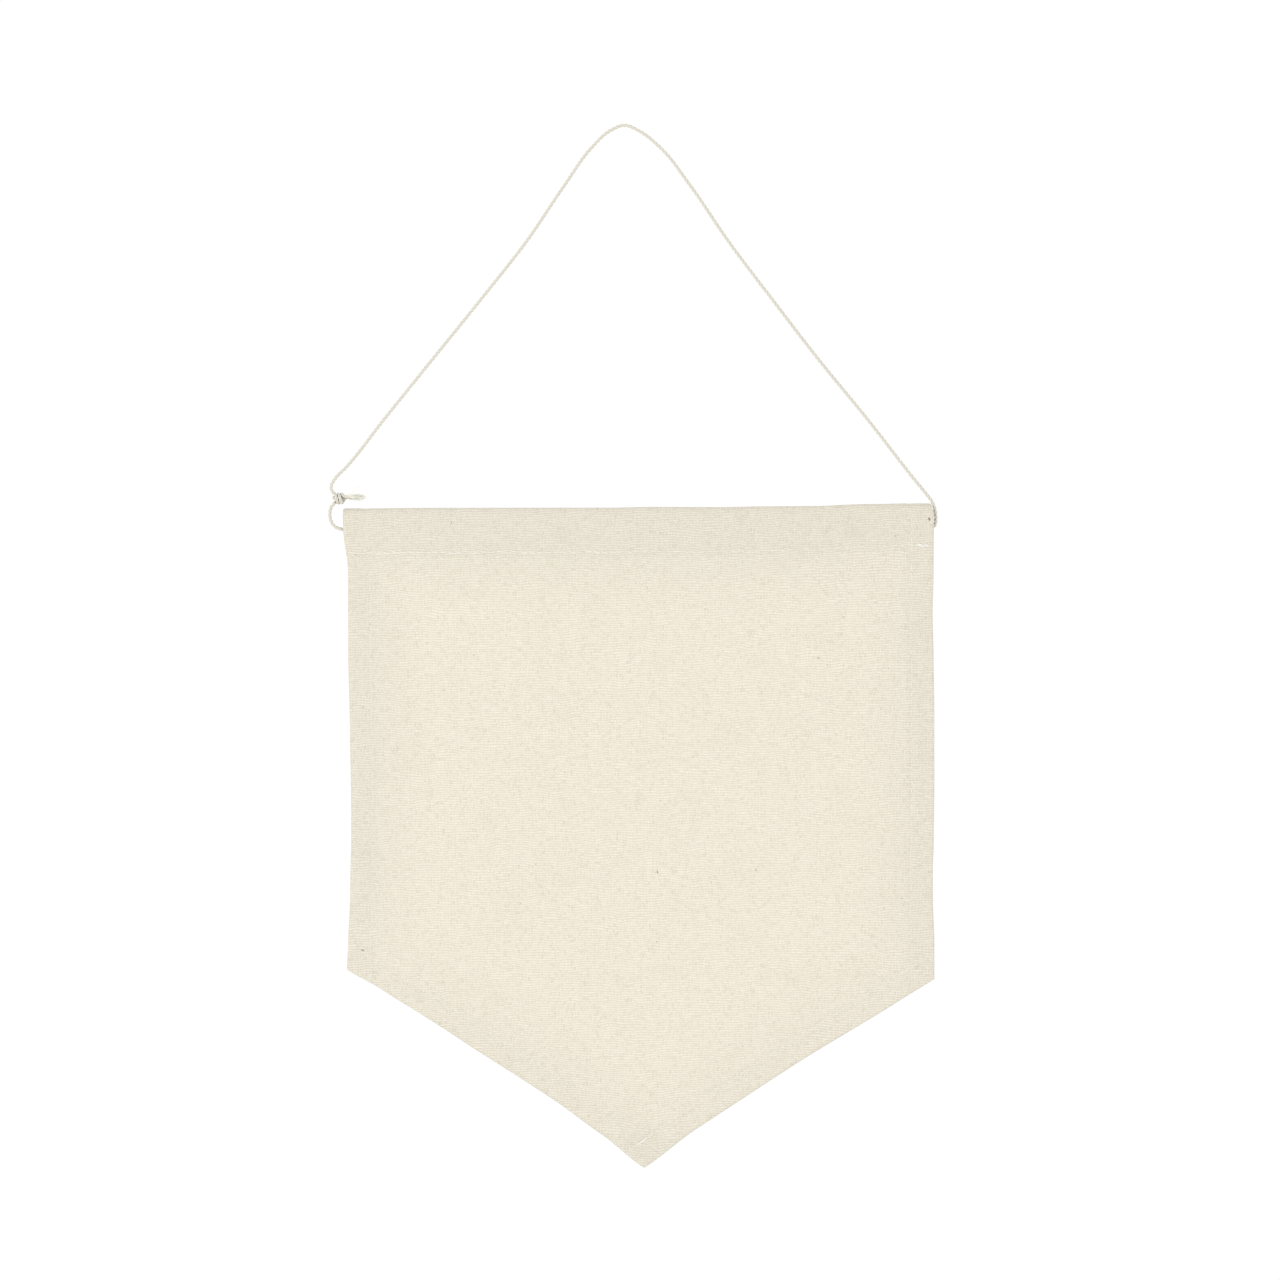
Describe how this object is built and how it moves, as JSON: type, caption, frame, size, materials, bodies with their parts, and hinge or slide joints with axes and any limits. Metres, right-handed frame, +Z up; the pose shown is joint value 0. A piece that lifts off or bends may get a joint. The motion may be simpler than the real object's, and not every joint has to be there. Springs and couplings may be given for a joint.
{
  "type": "canvas banner",
  "caption": "Blank hemmed canvas banner with a pointed lower edge, hung by a knotted cotton cord that runs through its folded header.",
  "frame": {"origin": "underside of the cord's top bend, where a nail or a hook carries the banner", "axes": "+Z up, from the pointed tip to the hanging point; +X to the right seen from the front; -Y out of the front face, so that +Y runs to the back with the turned hems"},
  "size_m": [0.2113, 0.0049, 0.3618],
  "materials": {
    "natural_canvas": "unbleached plain-weave cotton canvas, matt, with small seed flecks",
    "cotton_cord": "off-white twisted cotton cord, matt and slightly hairy",
    "sewing_thread": "off-white sewing thread, lockstitch"
  },
  "bodies": {
    "root": {"banner_cloth": "natural_canvas", "hanging_cord": "cotton_cord", "cord_knot": "cotton_cord"}
  },
  "joints": []
}
